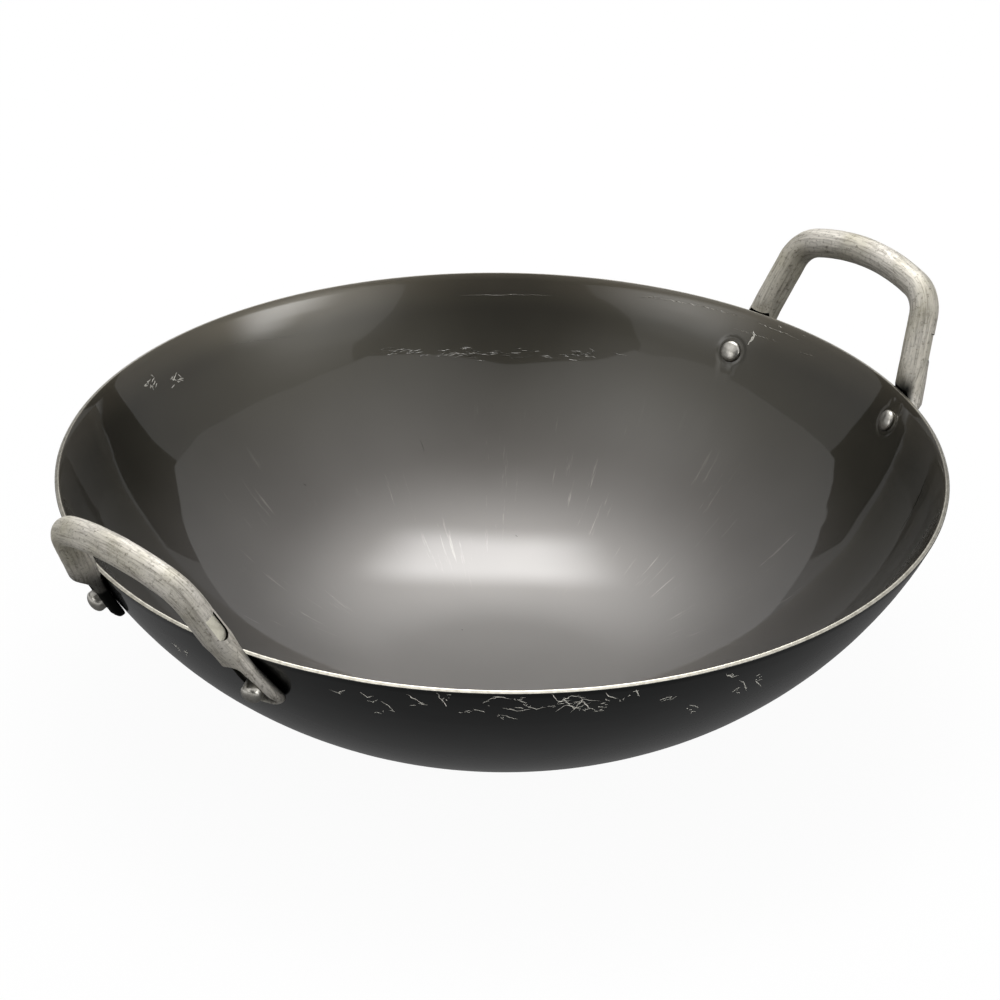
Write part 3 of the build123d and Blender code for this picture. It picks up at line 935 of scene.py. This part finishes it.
def slotCutter():  # a disc over the rim, which notches the side of each leg that faces the pan; its cut faces take the black painted shade
    h = handleMesh
    reach = pan["rimRadius"] + h["slotReach"]
    angles = np.linspace(0, 2 * math.pi, h["slotSides"], endpoint=False)
    outline = [(reach * math.cos(a), reach * math.sin(a)) for a in angles]
    low, high = panDepth - h["slotDrop"], panDepth + h["slotHeight"]
    return prism("slot_cutter", outline, low, high, Matrix.Scale(mm, 4), shadeAndFillSteel)


def ventCutter(f, turn):  # a pocket with a straight upper end and a round lower one, on a leg's outer side; its walls take the black painted shade
    h = handleMesh
    away = f["across"] if f["across"].y * f["at"].y > 0 else -f["across"]
    spoke = (away * cosOf(turn) + f["out"] * sinOf(turn)).normalized()
    tilted = turn - h["ventTilt"]
    facing = (away * cosOf(tilted) + f["out"] * sinOf(tilted)).normalized()
    up = f["along"] if f["along"].z > 0 else -f["along"]
    sideways = up.cross(facing)
    half, end = h["ventWidth"] / 2, h["ventLength"] / 2
    outline = [(-half, end), (-half, half - end)]
    outline += [(-half * math.cos(a), half - end - half * math.sin(a))
                for a in np.linspace(0, math.pi, h["ventSteps"])[1:-1]]
    outline += [(half, half - end), (half, end)]
    axes = Matrix([[sideways[r], up[r], facing[r]] for r in range(3)]).to_4x4()
    middle = f["at"] + spoke * (loop["tubeRadius"] - h["ventDepth"])
    place = Matrix.Scale(mm, 4) @ Matrix.Translation(middle) @ axes
    return prism("vent_cutter", outline, 0.0, h["ventRise"], place, ventSteel, shadeAndFillSteel)


def dentAndCut(piece, name, frames):  # the tube's uneven face, its notches and its vents
    h = handleMesh
    dents = bpy.data.textures.new("dents_" + name, "CLOUDS")
    dents.noise_scale, dents.noise_depth = h["dentSize"] * mm, h["dentOctaves"]
    dented = piece.modifiers.new("dents", "DISPLACE")
    dented.texture, dented.texture_coords = dents, "LOCAL"
    dented.strength, dented.mid_level = h["dentDepth"] * mm * 2, 0.5
    cutters = [slotCutter()]
    for leg, detail in enumerate(legs[name]):
        if "vent" in detail:
            height, turn = detail["vent"]
            middle = min((f for f in frames if f["leg"] == leg), key=lambda f: abs(f["height"] - height))
            cutters.append(ventCutter(middle, turn))
    for cutter in cutters:
        cut = piece.modifiers.new("cut", "BOOLEAN")
        cut.operation, cut.solver, cut.object, cut.material_mode = "DIFFERENCE", "EXACT", cutter, "TRANSFER"
    bpy.context.view_layer.update()
    piece.data = bpy.data.meshes.new_from_object(piece.evaluated_get(bpy.context.evaluated_depsgraph_get()))
    piece.modifiers.clear()
    for cutter in cutters:
        bpy.data.objects.remove(cutter)


def paintedShadeAt(f, detail, out, across, gap):  # how dark a point of the tube's painted shade is
    t = tubePaintedShade
    low = smoothStep(*t["gaps"], gap) * smoothStep(*t["gapHeights"], f["height"])
    inDish = out > t["dishOut"] and across > t["dishAcross"]
    dish = troughDepth(across * loop["tubeRadius"], f["height"], detail["crushed"]) * t["dish"] * inDish
    leg = detail["soot"] * smoothStep(*t["legHeights"], f["height"])
    foot = leg * t["foot"] * smoothStep(*t["footHeights"], f["height"])
    return min(1.0, max(low, dish, leg, foot))


def paintTube(mesh, frames, details):  # what the finish follows: the way along and round, and the painted shade
    tree = KDTree(len(frames))
    run, runs = 0.0, []
    for i, f in enumerate(frames):
        run += (f["at"] - frames[i - 1]["at"]).length if i else 0.0
        runs.append(run)
        tree.insert(f["at"] * mm, i)
    tree.balance()
    along, around, soot = [], [], []
    for v in mesh.vertices:
        i = tree.find(v.co)[1]
        f = frames[i]
        spoke = (v.co / mm - f["at"]) / loop["tubeRadius"]
        out, across = spoke.dot(f["out"]), spoke.dot(f["across"])
        along.append(runs[i])
        around.append((out, across, 0))
        soot.append(paintedShadeAt(f, details[f["leg"]], out, across, wallUnder(v.co / mm)[0]))
    for name, values in (("along", along), ("around", around), ("soot", soot)):
        addAttribute(mesh, name, values)


def makeHandle(name):
    frames = ringFrames(loop[name])
    mesh = tubeMesh(name, frames)
    piece = newObject(mesh.name, mesh)
    mesh.materials.append(tubeSteel)
    dentAndCut(piece, name, frames)
    paintTube(piece.data, frames, legs[name])
    piece.data.polygons.foreach_set("use_smooth", [True] * len(piece.data.polygons))
    piece.data.set_sharp_from_angle(angle=math.radians(handleMesh["smoothUnder"]))
    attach(piece, "root")
    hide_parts("handle_" + name)
    print("handle made:", piece.name, len(piece.data.polygons), "faces")


for name in ("right", "left"):
    makeHandle(name)


# Rivets: one turned rivet, set at the four seats by a node tree that also dents each one differently, in mm
rivet = {
    "sides": 48, "arcPoints": 9, "sidePoints": 5, "shankRadius": 2.5, "edgeRound": 0.2,
    "innerRadius": 4.4, "innerEdge": 0.7, "innerHeight": 2.3, "innerGap": 0.1,
    "outerRadius": 4.5, "outerTop": 11.8, "outerDome": 2.9, "outerSeat": 3.1, "outerSide": (1.0, 0.5),
    "dentDepth": 0.3, "dentSize": 3.0, "seed": 11.0,
    "lower": (0.0, 0.0, 2.2, 0.0),  # for each seat: a thinner crushed end takes a shorter rivet
    "headReach": 3.0,               # how far up the head that shift takes to reach its full length
}


def rivetProfile():  # radius and height from the wall's outer face, from the inner pole to the outer pole
    r = rivet
    inner, outer, fillet = r["innerRadius"], r["outerRadius"], r["edgeRound"]
    innerSeat, seat = -(pan["sheet"] + r["innerGap"]), r["outerSeat"]
    quarter = [math.radians(a) for a in np.linspace(0, 90, r["arcPoints"])]
    edge, dome = innerSeat - r["innerEdge"], r["innerHeight"] - r["innerEdge"]
    points = [(inner * math.sin(a), edge - dome * math.cos(a)) for a in quarter]
    points += [(inner, innerSeat - fillet), (inner - fillet, innerSeat), (r["shankRadius"], innerSeat)]
    points += [(r["shankRadius"], seat), (outer - fillet, seat), (outer, seat + fillet)]
    start, end = seat + r["outerSide"][0], r["outerTop"] - r["outerDome"] - r["outerSide"][1]
    points += [(outer, h) for h in np.linspace(start, end, r["sidePoints"])]
    points += [(outer * math.sin(a), r["outerTop"] - r["outerDome"] * (1 - math.cos(a)))
               for a in reversed(quarter)]
    return points


def rivetTree():  # sets a rivet at each seat, dents it, and lowers its head where its tube end is thinner
    tree, given = newTree("peened_rivets", (
        ("Object", ("Rivet",)), ("Float", ("Dent Depth", "Dent Size", "Seed")), ("Material", ("Material",))))
    facing = named(tree, "facing", "FLOAT_VECTOR")
    rotation = addNode(tree, "FunctionNodeAlignRotationToVector", {"Vector": facing}, axis="Z")
    one = addNode(tree, "GeometryNodeObjectInfo", {"Object": given["Rivet"]}).outputs["Geometry"]
    points = addNode(tree, "GeometryNodeMeshToPoints", {0: given["Geometry"]})
    placed = addNode(tree, "GeometryNodeInstanceOnPoints", {
        "Points": points, "Instance": one, "Rotation": rotation})
    real = addNode(tree, "GeometryNodeRealizeInstances", {"Geometry": placed})
    dents = addNode(tree, "ShaderNodeTexNoise", {
        "W": given["Seed"], "Scale": maths(tree, "DIVIDE", 1.0, given["Dent Size"]), "Detail": 1.0},
        noise_dimensions="4D")
    depth = maths(tree, "MULTIPLY", maths(tree, "SUBTRACT", dents, 0.5), given["Dent Depth"])
    push = vectorMaths(tree, "SCALE", addNode(tree, "GeometryNodeInputNormal"), depth)
    shorter = maths(tree, "MULTIPLY", named(tree, "lower"), named(tree, "head"))
    moved = vectorMaths(tree, "SUBTRACT", push, vectorMaths(tree, "SCALE", facing, shorter))
    dented = addNode(tree, "GeometryNodeSetPosition", {"Geometry": real, "Offset": moved})
    final = addNode(tree, "GeometryNodeSetMaterial", {
        "Geometry": smoothed(tree, dented), "Material": given["Material"]})
    addNode(tree, "NodeGroupOutput", {0: final})
    return tree


def turnedRivet():  # the plain rivet, with how far each point is up the head
    profile = rivetProfile()
    shape = bmesh.new()
    angles = np.linspace(0, 2 * math.pi, rivet["sides"], endpoint=False)
    rings = [[shape.verts.new((r * math.cos(a) * mm, r * math.sin(a) * mm, z * mm)) for a in angles]
             for r, z in profile[1:-1]]
    low, high = (shape.verts.new((0, 0, z * mm)) for z in (profile[0][1], profile[-1][1]))
    for k in range(rivet["sides"]):
        n = (k + 1) % rivet["sides"]
        shape.faces.new((low, rings[0][k], rings[0][n]))
        shape.faces.new((high, rings[-1][n], rings[-1][k]))
        for a, b in zip(rings, rings[1:]):
            shape.faces.new((a[k], b[k], b[n], a[n]))
    mesh = meshFrom(shape, "one_rivet")
    above = [(v.co.z / mm - rivet["outerSeat"]) / rivet["headReach"] for v in mesh.vertices]
    addAttribute(mesh, "head", [min(1.0, max(0.0, share)) for share in above])
    return newObject("one_rivet", mesh)


def makeRivets():
    one = turnedRivet()
    mesh = bpy.data.meshes.new("rivet_seats")
    mesh.from_pydata([p * mm for p, _ in seats], [], [])
    addAttribute(mesh, "facing", [normal[:] for _, normal in seats])
    addAttribute(mesh, "lower", [length * mm for length in rivet["lower"]])
    values = {"Rivet": one, "Dent Depth": rivet["dentDepth"] * mm, "Dent Size": rivet["dentSize"] * mm,
              "Seed": rivet["seed"], "Material": rivetSteel}
    rivets = bakeTree(newObject("rivet_seats", mesh), rivetTree(), values, "rivets")
    bpy.data.objects.remove(one)
    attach(rivets, "root")
    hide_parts("rivet_right_front", "rivet_right_back", "rivet_left_front", "rivet_left_back")
    return rivets


rivets = makeRivets()
print("rivets made:", len(rivets.data.polygons), "faces")


# Studio: a white sweep, soft boxes that only light and reflect, and the camera that took the photograph.
# Azimuths are from the camera's view, 0 behind the pan, in degrees, and lengths are in metres.
studio = {
    "ambient": 0.2, "backdrop": 1.0, "roomDark": 0.015, "fade": (0.0, 0.05),
    "floorSize": 40.0, "floorDrop": 0.0002, "floorPaint": (0.8, 0.8, 0.8, 1),
    # the floor's white, with a painted shadow near the pan and to its right that is darker again in mirrors
    "shadowedGlowNear": 0.955, "mirroredShadowGlow": 0.135, "shadowReach": (0.2, 0.8), "shadowAside": 0.08,
}
# name, azimuth, elevation, distance, width, height, strength, and the share of it that fades out
boxes = [
    ("back_box", 4.0, 65.0, 1.8, 1.15, 0.82, 5.5, 0.7),
    ("back_halo", -1.0, 64.0, 1.9, 2.6, 2.8, 3.3, 1.0),
    ("spot_box", 120.0, 22.5, 2.6, 1.9, 0.75, 6.2, 0.9),
    ("spot_halo", 128.0, 29.0, 2.6, 2.8, 1.5, 1.4, 1.0),
    ("right_glow", -131.0, 27.0, 2.6, 2.6, 1.1, 2.3, 1.0),
    ("left_fill", 125.0, 57.0, 2.3, 2.8, 2.0, 0.4, 1.0),
    ("right_fill", -120.0, 57.0, 2.3, 2.8, 2.0, 0.8, 1.0),
]
# the ceiling's outline as azimuth and elevation, and the walls as azimuth from and to, strength and size
ceiling = {
    "height": 3.0, "strength": 0.68,
    "outline": ((62, 23), (75, 28), (90, 34), (105, 39.5), (120, 42), (135, 43.5), (150, 47.5), (165, 50.5),
                (180, 52), (-165, 51), (-150, 48.5), (-138, 42), (-125, 39), (-115, 37), (-100, 33.5),
                (-88, 30.5), (-75, 26), (-65, 22), (-30, 22), (30, 22)),
}
walls = {
    "distance": 9.0, "height": 9.0, "panelTurn": 12,
    "spans": ((64, 131, 0.45, 1.0), (-137, -68, 0.42, 1.0), (-42, 40, 0.3, 1.0), (128, 226, 0.1, 1.5)),
    "corners": (  # where a wall ends in a slanted line: strength, then azimuth and elevation
        (0.45, ((131, 0), (131, 40), (133, 38), (143, 35), (148, 33), (154, 27), (156, 0))),
        (0.42, ((-137, 0), (-137, 39), (-144, 33), (-154, 30), (-160, 27), (-162, 0))),
        (0.3, ((40, 0), (40, 16), (44, 13), (52, 5), (54, 0))),
        (0.3, ((-42, 0), (-42, 16), (-46, 14), (-52, 5), (-55, 0)))),
}
cameraFit = {  # turn, elevation and roll in degrees, and distance, x and z, from the rim's middle, in mm
    "turn": 39.93, "distance": 4000.0, "elevation": 28.065, "x": -0.788, "z": -11.364, "roll": 0.638,
    "lens": 358.05, "sensor": 36.0, "near": 0.1, "far": 200.0,
}


def fromView(vector):  # from the photograph's frame, where the camera looks along +Y, to the part's
    c, s = cosOf(cameraFit["turn"]), sinOf(cameraFit["turn"])
    return Vector((vector[0] * c + vector[1] * s, -vector[0] * s + vector[1] * c, vector[2]))


def towards(azimuth, elevation=0.0):  # in the photograph's frame
    return Vector((sinOf(azimuth) * cosOf(elevation), cosOf(azimuth) * cosOf(elevation), sinOf(elevation)))


def makeCamera():
    f = cameraFit
    eye = Vector((0, -cosOf(f["elevation"]), sinOf(f["elevation"]))) * f["distance"]
    forward = (Vector((f["x"], 0, f["z"])) - eye).normalized()
    side = forward.cross(Vector((0, 0, 1))).normalized()
    up = side.cross(forward)
    rolledSide = side * cosOf(f["roll"]) + up * sinOf(f["roll"])
    rolledUp = up * cosOf(f["roll"]) - side * sinOf(f["roll"])
    data = bpy.data.cameras.new("camera")
    data.lens, data.sensor_width = f["lens"], f["sensor"]
    data.clip_start, data.clip_end = f["near"], f["far"]
    camera = newObject("camera", data)
    axes = [fromView(v) for v in (rolledSide, rolledUp, -forward)]
    turned = Matrix([[axes[c][r] for c in range(3)] for r in range(3)]).to_4x4()
    place = (fromView(eye) + Vector((0, 0, panDepth))) * mm
    camera.matrix_world = Matrix.Translation(place) @ turned
    bpy.context.scene.camera = camera


def seenDirectly(tree):  # if it is a camera ray, and if it is one that should find the white background
    path = addNode(tree, "ShaderNodeLightPath").outputs
    first = maths(tree, "ADD", path["Is Camera Ray"], path["Is Glossy Ray"])
    second = addNode(tree, "ShaderNodeMath", {0: first, 1: path["Is Transmission Ray"]}, operation="ADD",
                     use_clamp=True)
    return path["Is Camera Ray"], second.outputs[0]


def makeWorld():
    world = bpy.data.worlds.new("studio")
    bpy.context.scene.world = world
    world.use_nodes = True
    tree = world.node_tree
    tree.nodes.clear()
    isCamera, seen = seenDirectly(tree)
    direction = addNode(tree, "ShaderNodeTexCoord").outputs["Generated"]
    height = addNode(tree, "ShaderNodeSeparateXYZ", {0: direction}).outputs["Z"]
    room = ramp(tree, height, studio["fade"], (studio["backdrop"], studio["roomDark"]), "LINEAR")
    shown = choose(tree, isCamera, room, studio["backdrop"])
    strength = choose(tree, seen, studio["ambient"], shown)
    background = addNode(tree, "ShaderNodeBackground", {"Color": (1, 1, 1, 1), "Strength": strength})
    addNode(tree, "ShaderNodeOutputWorld", {0: background})


def makeFloor():
    material, tree = newMaterial("white_sweep")
    isCamera, seen = seenDirectly(tree)
    # painted shadow: the pan's shadow is painted into the floor's glow, lower near the pan and lower again in
    # mirrors
    aside = tuple(fromView((studio["shadowAside"], 0, 0)))
    away = lengthOf(tree, vectorMaths(tree, "SUBTRACT", objectPlace(tree), aside))
    near = choose(tree, isCamera, studio["mirroredShadowGlow"], studio["shadowedGlowNear"])
    shadowedGlow = ramp(tree, away, studio["shadowReach"], (near, 1.0))
    share = choose(tree, isCamera, seen, shadowedGlow)
    power = choose(tree, isCamera, shadowedGlow, studio["backdrop"])
    paint = addNode(tree, "ShaderNodeBsdfDiffuse", {"Color": studio["floorPaint"]})
    glow = addNode(tree, "ShaderNodeEmission", {"Strength": power})
    addNode(tree, "ShaderNodeOutputMaterial", {0: addNode(tree, "ShaderNodeMixShader", {
        0: share, 1: paint, 2: glow})})
    half, low = studio["floorSize"], -studio["floorDrop"]
    mesh = bpy.data.meshes.new("floor")
    mesh.from_pydata([(-half, -half, low), (half, -half, low), (half, half, low), (-half, half, low)], [],
                     [(0, 1, 2, 3)])
    mesh.materials.append(material)
    newObject("floor", mesh)


def fadedShader(tree, strength, softShare):  # it glows in the middle and is clear at its sides
    split = addNode(tree, "ShaderNodeSeparateXYZ", {0: addNode(tree, "ShaderNodeUVMap")}).outputs
    fades = []
    for axis in ("X", "Y"):
        size = maths(tree, "ABSOLUTE", maths(tree, "SUBTRACT", split[axis], 0.5))
        fades.append(ramp(tree, size, (0.5, 0.5 - softShare / 2)))
    power = maths(tree, "MULTIPLY", maths(tree, "MULTIPLY", *fades), strength)
    glow = addNode(tree, "ShaderNodeEmission", {"Strength": power})
    return addNode(tree, "ShaderNodeAddShader", {0: glow, 1: addNode(tree, "ShaderNodeBsdfTransparent")})


def makeCard(name, corners, strength, softShare=0):  # a glowing card, seen only by light and in reflections
    material, tree = newMaterial(name + "_light")
    if softShare:
        card = fadedShader(tree, strength, softShare)
    else:
        card = addNode(tree, "ShaderNodeEmission", {"Strength": strength})
    addNode(tree, "ShaderNodeOutputMaterial", {0: card})
    mesh = bpy.data.meshes.new(name)
    mesh.from_pydata([fromView(v) for v in corners], [], [range(len(corners))])
    layer = mesh.uv_layers.new(name="UVMap")
    for k, uvPoint in enumerate(((0, 0), (1, 0), (1, 1), (0, 1))[:len(corners)]):
        layer.data[k].uv = uvPoint
    mesh.materials.append(material)
    panel = newObject(name, mesh)
    panel.visible_camera = False


def makeRoom():  # the ceiling and the walls
    c, w = ceiling, walls
    outline = [towards(a) * (c["height"] / math.tan(math.radians(e))) for a, e in c["outline"]]
    makeCard("ceiling_card", [(p.x, p.y, c["height"]) for p in outline], c["strength"])
    for start, end, strength, size in w["spans"]:
        count = math.ceil((end - start) / w["panelTurn"])
        for k in range(count):
            turns = [start + (end - start) * (k + i) / count for i in (0, 1)]
            low = [towards(t) * w["distance"] * size for t in turns]
            rise = Vector((0, 0, w["height"] * size * size))
            makeCard("wall_card", low + [p + rise for p in reversed(low)], strength)
    for strength, outline in w["corners"]:
        rays = [Vector((sinOf(a), cosOf(a), math.tan(math.radians(e)))) for a, e in outline]
        makeCard("wall_corner", [ray * w["distance"] for ray in rays], strength)


def makeBoxes():
    for name, azimuth, elevation, distance, width, height, strength, softShare in boxes:
        way = towards(azimuth, elevation)
        side = way.cross(Vector((0, 0, 1))).normalized()
        up = side.cross(way)
        corners = [way * distance + side * (sx * width / 2) + up * (sy * height / 2)
                   for sx, sy in ((-1, -1), (1, -1), (1, 1), (-1, 1))]
        makeCard(name, corners, strength, softShare)


makeCamera()
makeWorld()
makeFloor()
makeRoom()
makeBoxes()
bpy.context.scene.view_settings.view_transform = "Standard"
print("studio made")
